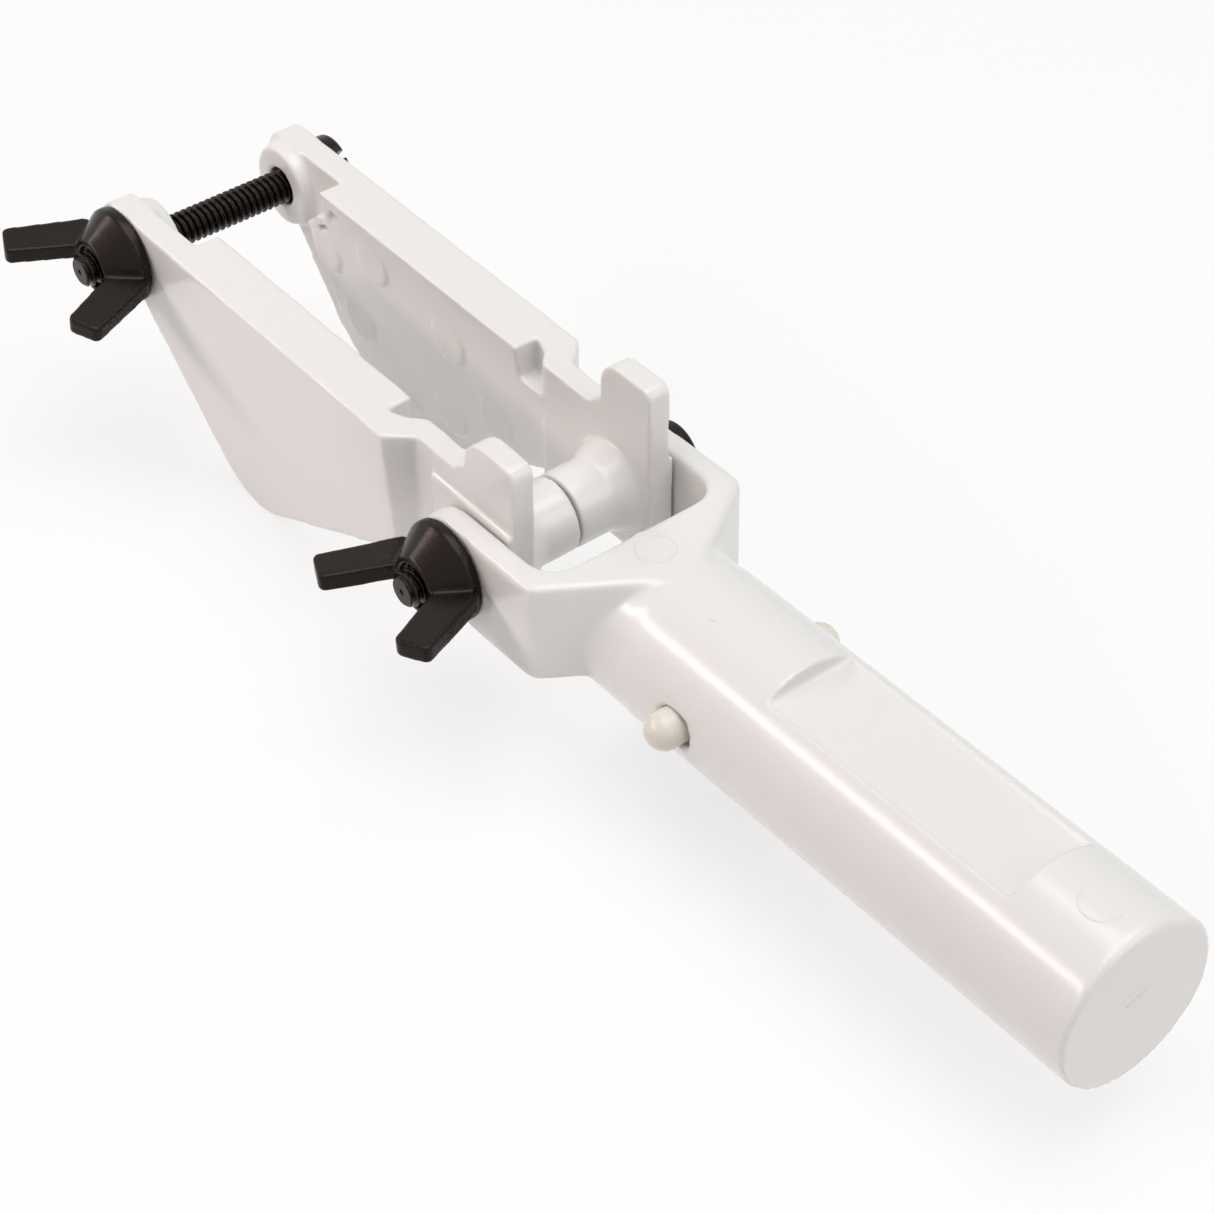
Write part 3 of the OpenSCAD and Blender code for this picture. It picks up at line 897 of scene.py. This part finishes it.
@dataclass
class SpringHalf:
    """One half of the spring clip's U; its leg bends in with its button.

    The strip's middle line runs straight from the leg's free end, then along
    a quarter circle to the U's middle. Its section is a rectangle with
    rounded corners, of the strip's thickness and the CAD node's height. The
    leg's first rigid_length moves with the button, and the rest bends.
    """

    name: str
    body: str
    side: int
    node: str = "snap_spring_clip"
    fixed_body: str = "fork"
    thickness: float = 0.8 * MM
    corner: float = 0.18 * MM
    rigid_length: float = 9.3 * MM
    leg_steps: int = 16
    bend_steps: int = 14

    def build(self) -> bpy.types.Object:
        """Builds the half strip, bending between the shank and its button.

        Returns:
            The half strip.
        """
        low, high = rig.box(self.node)
        middle = high.y - self.thickness / 2
        bend_x = high.x - high.y
        leg = np.linspace(low.x, bend_x, self.leg_steps)
        turn = np.linspace(math.pi / 2, 0.0, self.bend_steps)[1:]
        line_x = np.concatenate([leg, bend_x + middle * np.cos(turn)])
        line_y = np.concatenate([np.full(self.leg_steps, middle),
                                 middle * np.sin(turn)])
        out_x = np.concatenate([np.zeros(self.leg_steps), np.cos(turn)])
        out_y = np.concatenate([np.ones(self.leg_steps), np.sin(turn)])
        across, up = self.section(high.z).T
        x = line_x[:, None] + out_x[:, None] * across
        y = self.side * (line_y[:, None] + out_y[:, None] * across)
        z = np.broadcast_to(up, x.shape)
        half = grid_mesh(self.name, np.stack([x, y, z], axis=-1))
        close_ends(half)
        paint_piece(half, Finish.SPRING_STEEL)
        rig.replaces(half, self.node)
        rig.blend(half, self.fixed_body, self.body,
                 (bend_x + middle, self.side * middle, 0.0),
                 (low.x + self.rigid_length, self.side * middle, 0.0))
        return half

    def section(self, half_height: float) -> np.ndarray:
        """Returns the section's outline as pairs of outward and up.

        Args:
            half_height: Half the strip's height.
        """
        wide = self.thickness / 2 - self.corner
        tall = half_height - self.corner
        rows = []
        for across, up, start in ((1, 1, 0), (-1, 1, 90), (-1, -1, 180),
                                  (1, -1, 270)):
            for angle in np.radians(start + np.linspace(0.0, 90.0, 4)):
                rows.append((across * wide + self.corner * math.cos(angle),
                             up * tall + self.corner * math.sin(angle)))
        return np.array(rows)


# ------------------------------------------------------------------ studio


@dataclass
class PhotoCamera:
    """The photograph's camera, settled on its image points."""

    azimuth: float = 142.511
    elevation: float = 41.351
    roll: float = -1.371
    lens: float = 88.604
    sensor_width: float = 36.0
    location: tuple[float, float, float] = (-0.16985, 0.21958, 0.31070)
    shift: tuple[float, float] = (0.0, 0.0)
    frame_width: int = 1214
    frame_height: int = 1214
    camera: bpy.types.Object | None = field(default=None, repr=False)

    def build(self) -> None:
        """Makes the camera and hands it to the scene."""
        a, e, r = map(math.radians, (self.azimuth, self.elevation, self.roll))
        back = Vector((math.cos(e) * math.cos(a), math.cos(e) * math.sin(a),
                       math.sin(e)))
        level = Vector((0, 0, 1)).cross(back).normalized()
        upright = back.cross(level)
        right = math.cos(r) * level + math.sin(r) * upright
        up = math.cos(r) * upright - math.sin(r) * level
        data = bpy.data.cameras.new("photo_camera")
        data.lens, data.sensor_width = self.lens, self.sensor_width
        data.sensor_fit = "AUTO"
        data.shift_x, data.shift_y = self.shift
        data.clip_start, data.clip_end = 0.01, 50.0
        self.camera = bpy.data.objects.new("photo_camera", data)
        turn = Matrix((right, up, back)).transposed().to_4x4()
        self.camera.matrix_world = Matrix.Translation(self.location) @ turn
        bpy.context.scene.collection.objects.link(self.camera)
        bpy.context.scene.camera = self.camera
        bpy.context.view_layer.update()

    def project(self, points: np.ndarray) -> np.ndarray:
        """Returns the image x and y at which points show.

        Args:
            points: The points, n x 3.
        """
        world = np.array(self.camera.matrix_world.inverted())
        local = points @ world[:3, :3].T + world[:3, 3]
        long_side = max(self.frame_width, self.frame_height)
        reach = long_side * self.lens / self.sensor_width / -local[:, 2]
        x = self.frame_width / 2 + local[:, 0] * reach
        y = self.frame_height / 2 - local[:, 1] * reach
        return np.stack([x - self.shift[0] * long_side,
                         y + self.shift[1] * long_side], axis=-1)

    def ray(self, x: float, y: float) -> tuple[Vector, Vector]:
        """Returns the start and the direction of the ray through x, y.

        Args:
            x: Image x in the photograph's frame.
            y: Image y in the photograph's frame.
        """
        long_side = max(self.frame_width, self.frame_height)
        aim = Vector((
            x - self.frame_width / 2 + self.shift[0] * long_side,
            self.frame_height / 2 - y + self.shift[1] * long_side,
            -long_side * self.lens / self.sensor_width))
        world = self.camera.matrix_world
        return world.translation.copy(), (world.to_3x3() @ aim).normalized()


@dataclass(frozen=True)
class SoftLamp:
    """A rectangular lamp that faces the object."""

    name: str
    offset: tuple[float, float, float]
    size: tuple[float, float]
    power: float
    tint: Tint

    def build(self, target: Vector) -> None:
        """Adds the lamp to the scene.

        Args:
            target: The place that it faces and is placed from.
        """
        data = bpy.data.lights.new(self.name, "AREA")
        data.shape = "RECTANGLE"
        data.size, data.size_y = self.size
        data.energy = self.power
        data.color = self.tint
        offset = Vector(self.offset)
        lamp = bpy.data.objects.new(self.name, data)
        lamp.location = target + offset
        lamp.rotation_mode = "QUATERNION"
        lamp.rotation_quaternion = offset.to_track_quat("Z", "Y")
        bpy.context.scene.collection.objects.link(lamp)


LAMPS = [
    SoftLamp("left_lamp", (0.490027, 0.650520, 0.489077), (0.95, 0.12),
             3.95, (1.0, 0.85, 0.83)),
    SoftLamp("top_lamp", (-0.1, -0.1, 1.2), (1.1, 1.1),
             11.5, (0.97, 1.0, 0.99)),
    SoftLamp("right_lamp", (-1.0, -0.35, 0.55), (0.9, 0.9),
             3.95, (1.0, 0.96, 0.95)),
]


@dataclass
class Studio:
    """A pale floor and soft lamps: a long one at the left, and two wide ones."""

    floor_size: float = 6.0
    floor_drop: float = 0.0004
    floor_tones: tuple[Tint, Tint] = ((0.91, 0.905, 0.90),
                                      (0.94, 0.935, 0.93))
    fibres_per_metre: float = 900.0
    white_share: float = 0.72
    ambient: float = 0.14
    ambient_tint: Tint = (1.0, 0.965, 0.95)
    target: tuple[float, float, float] = (0.11, 0.0, 0.0)

    def build(self) -> None:
        """Builds the floor, the lamps and the world."""
        self.floor()
        for lamp in LAMPS:
            lamp.build(Vector(self.target))
        self.world()

    def seen_directly(self, graph: Graph) -> bpy.types.NodeSocket:
        """Returns 1 for camera, glossy and transmission rays, else 0.

        Args:
            graph: The node tree to add to.
        """
        path = graph.add("ShaderNodeLightPath")
        seen = graph.maths("MAXIMUM", path.outputs["Is Camera Ray"],
                           path.outputs["Is Glossy Ray"])
        return graph.maths("MAXIMUM", seen,
                           path.outputs["Is Transmission Ray"])

    def floor(self) -> None:
        """Adds the floor just under the object; it keeps the shadow."""
        half = self.floor_size / 2
        z = CAD_BOX[0].z - self.floor_drop
        corners = [(-half, -half, z), (half, -half, z),
                   (half, half, z), (-half, half, z)]
        mesh = bpy.data.meshes.new("floor")
        mesh.from_pydata(corners, [], [(0, 1, 2, 3)])
        floor = bpy.data.objects.new("floor", mesh)
        bpy.context.scene.collection.objects.link(floor)
        material = bpy.data.materials.new("floor_paper")
        material.use_nodes = True
        graph = Graph(material.node_tree)
        place = graph.add("ShaderNodeTexCoord").outputs["Object"]
        fibre = graph.noise(place, self.fibres_per_metre, 3.0)
        dark, light = self.floor_tones
        tone = graph.mix(fibre, (*dark, 1), (*light, 1))
        paper = graph.add("ShaderNodeBsdfDiffuse", {"Color": tone})
        glow = graph.add("ShaderNodeEmission",
                         {"Color": WHITE, "Strength": 1.0})
        share = graph.maths("MULTIPLY", self.seen_directly(graph),
                            self.white_share)
        mixed = graph.add("ShaderNodeMixShader", {
            0: share, 1: paper.outputs[0], 2: glow.outputs[0]})
        graph.add("ShaderNodeOutputMaterial",
                  {"Surface": mixed.outputs[0]})
        mesh.materials.append(material)
        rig.stage(floor)

    def world(self) -> None:
        """Lights all round evenly, and shows plain white where it is seen."""
        world = bpy.data.worlds.new("studio")
        bpy.context.scene.world = world
        world.use_nodes = True
        graph = Graph(world.node_tree)
        light = graph.add("ShaderNodeBackground", {
            "Color": (*self.ambient_tint, 1), "Strength": self.ambient})
        white = graph.add("ShaderNodeBackground",
                          {"Color": WHITE, "Strength": 1.0})
        mixed = graph.add("ShaderNodeMixShader", {
            0: self.seen_directly(graph), 1: light.outputs[0],
            2: white.outputs[0]})
        graph.add("ShaderNodeOutputWorld", {"Surface": mixed.outputs[0]})


# ------------------------------------------------------------------ marks


class Carrier:
    """The finished surface of a piece that carries small marks."""

    def __init__(self, obj: bpy.types.Object, camera: PhotoCamera) -> None:
        """Reads the surface.

        Args:
            obj: The piece, in its finished shape.
            camera: The photograph's camera.
        """
        self.camera = camera
        self.spots = mesh_points(obj.data)
        faces = [tuple(face.vertices) for face in obj.data.polygons]
        self.tree = BVHTree.FromPolygons(self.spots.tolist(), faces)

    def place(self, name: str) -> tuple[Vector, Vector]:
        """Returns the place and the normal where an image point falls.

        A ray that misses the piece gives the piece's nearest place to it.

        Args:
            name: The image point's name.
        """
        point = next(p for p in POINTS if p.name == name)
        start, way = self.camera.ray(point.x, point.y)
        spot, normal = self.tree.ray_cast(start, way)[:2]
        if spot is None:
            offset = self.spots - np.array(start)
            beside = np.cross(offset, np.array(way))
            nearest = int(np.linalg.norm(beside, axis=1).argmin())
            spot, normal = self.tree.find_nearest(self.spots[nearest])[:2]
            LOG.info("%s: the ray misses, put at the nearest place", name)
        return spot, normal

    def lay(self, name: str, flat: np.ndarray, turn: float) -> np.ndarray:
        """Returns points drawn on a sheet laid onto the surface.

        Args:
            name: The image point at the sheet's origin.
            flat: Rows x columns x 3; two coordinates along the sheet, the
                first nearest to X on the object, and the height above it.
            turn: Turn of the sheet about its normal, in degrees.
        """
        spot, normal = self.place(name)
        across = normal.cross(Vector((1, 0, 0)))
        if across.length < 0.3:
            across = normal.cross(Vector((0, 0, 1)))
        across.normalize()
        along = across.cross(normal).normalized()
        c, s = math.cos(math.radians(turn)), math.sin(math.radians(turn))
        laid = np.empty(flat.shape)
        for index in np.ndindex(flat.shape[:2]):
            u, v, height = flat[index]
            aim = spot + along * (c * u - s * v) + across * (s * u + c * v)
            base, out = self.tree.find_nearest(aim)[:2]
            laid[index] = base + out * height
        return laid


@dataclass
class EjectorRing:
    """The thin ring that an ejector pin leaves on a moulded face."""

    name: str
    body: str
    radius: float
    width: float = 0.34 * MM
    height: float = 0.05 * MM
    start: float = 0.0
    sweep: float = 360.0
    steps: int = 73

    def build(self, carrier: Carrier) -> bpy.types.Object:
        """Builds the ring as a low ridge laid on the surface.

        At angle a the ridge's section is a half ellipse, high in the middle
        and sunk a little below the surface at its foot. Its height fades to
        nothing towards both ends of the sweep.

        Args:
            carrier: The surface that carries it.

        Returns:
            The ring.
        """
        turns = np.radians(np.linspace(self.start, self.start + self.sweep,
                                       self.steps))
        around = np.linspace(0, np.pi, 7)
        side = np.append(-np.cos(around), 0.0) * self.width / 2
        rise = np.append(np.sin(around), -0.6)
        fade = np.sin(np.linspace(0, np.pi, len(turns))) ** 0.35
        radius = self.radius + side[None, :] * (0.4 + 0.6 * fade[:, None])
        height = self.height * (rise[None, :] * fade[:, None] - 0.25)
        flat = np.stack([radius * np.cos(turns)[:, None],
                         radius * np.sin(turns)[:, None], height], axis=-1)
        ring = grid_mesh(self.name, carrier.lay(self.name, flat, 0.0))
        close_ends(ring)
        finish_piece(ring, self.body, Finish.WHITE_PLASTIC)
        return ring


@dataclass
class MouldScar:
    """A torn fleck where the mould or its gate left the plastic rough."""

    name: str
    body: str
    finish: Finish
    length: float
    width: float
    height: float
    turn: float

    def build(self, carrier: Carrier) -> bpy.types.Object:
        """Builds the fleck as a low lens with a ragged outline.

        At angle a the outline lies at its ellipse's radius times a wave of
        three low sines. Height falls from the middle as one minus the square
        of the share of that radius, and ends below the surface.

        Args:
            carrier: The surface that carries it.

        Returns:
            The fleck.
        """
        turns = np.linspace(0, 2 * np.pi, 28, endpoint=False)
        ragged = (1 + 0.14 * np.sin(3 * turns + 0.6)
                  + 0.10 * np.sin(5 * turns + 2.1)
                  + 0.07 * np.sin(8 * turns + 4.0))
        shares = np.array([0.02, 0.3, 0.6, 0.85, 1.0])
        along = shares[:, None] * ragged * np.cos(turns) * self.length / 2
        across = shares[:, None] * ragged * np.sin(turns) * self.width / 2
        height = np.broadcast_to(
            (self.height * (1.15 * (1 - shares ** 2) - 0.15))[:, None],
            along.shape)
        flat = np.stack([along, across, height], axis=-1)
        scar = grid_mesh(self.name, carrier.lay(self.name, flat, self.turn))
        close_ends(scar)
        finish_piece(scar, self.body, self.finish)
        return scar


class PointReport:
    """Compares where things show with the photograph's points."""

    def __init__(self, camera: PhotoCamera) -> None:
        """Gathers the finished vertices of every shown piece.

        Args:
            camera: The photograph's camera.
        """
        self.camera = camera
        self.vertices: dict[str, np.ndarray] = {}
        triangles: list[np.ndarray] = []
        everything: list[np.ndarray] = []
        start = 0
        graph = bpy.context.evaluated_depsgraph_get()
        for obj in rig.pieces():
            done = obj.evaluated_get(graph)
            mesh = done.to_mesh()
            world = np.array(done.matrix_world)
            spots = mesh_points(mesh) @ world[:3, :3].T + world[:3, 3]
            mesh.calc_loop_triangles()
            corners = np.empty(len(mesh.loop_triangles) * 3, dtype=np.int32)
            mesh.loop_triangles.foreach_get("vertices", corners)
            self.vertices[obj.name] = spots
            everything.append(spots)
            triangles.append(corners.reshape(-1, 3) + start)
            start += len(spots)
            done.to_mesh_clear()
        self.tree = BVHTree.FromPolygons(
            np.concatenate(everything).tolist(),
            np.concatenate(triangles).tolist())

    def shown(self, spots: np.ndarray, slack: float = 0.05 * MM) -> np.ndarray:
        """Returns which of the places nothing hides from the camera.

        Args:
            spots: The places, n x 3.
            slack: How far in front of a place its own surface may lie.
        """
        eye = Vector(self.camera.location)
        seen = []
        for spot in spots:
            way = Vector(spot) - eye
            hit = self.tree.ray_cast(eye, way.normalized())
            seen.append(hit[3] is None or hit[3] > way.length - slack)
        return np.array(seen, dtype=bool)

    def place_of(self, point: ImagePoint) -> tuple[float, float]:
        """Returns the image x and y at which a point's own thing shows.

        Args:
            point: The image point.
        """
        if point.side:
            flat = self.camera.project(
                np.concatenate(list(self.vertices.values())))
            pick = {"left": flat[:, 0].argmin(), "right": flat[:, 0].argmax(),
                    "top": flat[:, 1].argmin(), "bottom": flat[:, 1].argmax()}
            return tuple(flat[pick[point.side]])
        if point.piece:
            spots = self.vertices[point.piece]
            spots = spots[::max(1, len(spots) // 1500)]
            flat = self.camera.project(spots[self.shown(spots)])
            middle = (flat.min(0) + flat.max(0)) / 2
            return tuple(middle)
        spot = point.spot
        if point.end_of:
            low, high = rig.box(point.end_of)
            spot = ((low.x + high.x) / 2, high.y, (low.z + high.z) / 2)
        return tuple(self.camera.project(np.array([spot]))[0])

    def write(self, path: str) -> None:
        """Writes each point's offset, the render's less the photograph's.

        Args:
            path: The file to write.
        """
        rows = {}
        for point in POINTS:
            try:
                x, y = self.place_of(point)
                rows[point.name] = {
                    "dx": None if point.x is None else round(x - point.x, 2),
                    "dy": None if point.y is None else round(y - point.y, 2)}
            except (KeyError, ValueError) as problem:
                rows[point.name] = {"problem": str(problem)}
        with open(path, "w") as file:
            json.dump(rows, file, indent=1)


# -------------------------------------------------------------------- main


def main() -> None:
    """Builds the camera, the pieces and the studio, and writes the reports."""
    logging.basicConfig(level=logging.INFO, format="%(name)s: %(message)s")
    scene = bpy.context.scene
    scene.view_settings.view_transform = "Standard"
    camera = PhotoCamera()
    camera.build()
    yoke = Yoke().build()
    Jaw("near_jaw", "near_jaw_body").build()
    Jaw("far_jaw", "far_jaw_body").build()
    SnapButton("near_snap_button", "near_button_body").build()
    SnapButton("far_snap_button", "far_button_body").build()
    SpringHalf("near_spring_half", "near_button_body", 1).build()
    SpringHalf("far_spring_half", "far_button_body", -1).build()
    ThreadedScrew("pivot_bolt", "pivot_bolt_body").build()
    ThreadedScrew("clamp_bolt", "clamp_bolt_body", slot_turn=48.0).build()
    WingNut("pivot_wing_nut", "pivot_nut_body").build()
    WingNut("clamp_wing_nut", "clamp_nut_body").build()
    surface = Carrier(yoke, camera)
    EjectorRing("fork_ring", "fork", 3.25 * MM).build(surface)
    EjectorRing("shank_ring", "fork", 3.4 * MM, height=0.09 * MM,
                start=-5.0, sweep=200.0).build(surface)
    MouldScar("fork_speck", "fork", Finish.WHITE_PLASTIC, 2.0 * MM, 0.45 * MM,
              0.16 * MM, 20.0).build(surface)
    MouldScar("gate_scar", "fork", Finish.WHITE_PLASTIC, 5.0 * MM, 0.8 * MM,
              0.2 * MM, -72.0).build(surface)
    Studio().build()
    bpy.context.view_layer.update()
    PointReport(camera).write("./points.json")
    with open("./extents.json", "w") as file:
        json.dump({"cad": [list(p) for p in CAD_BOX],
                   "visual": [list(p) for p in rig.bounds()]}, file)


if __name__ == "__main__":
    main()
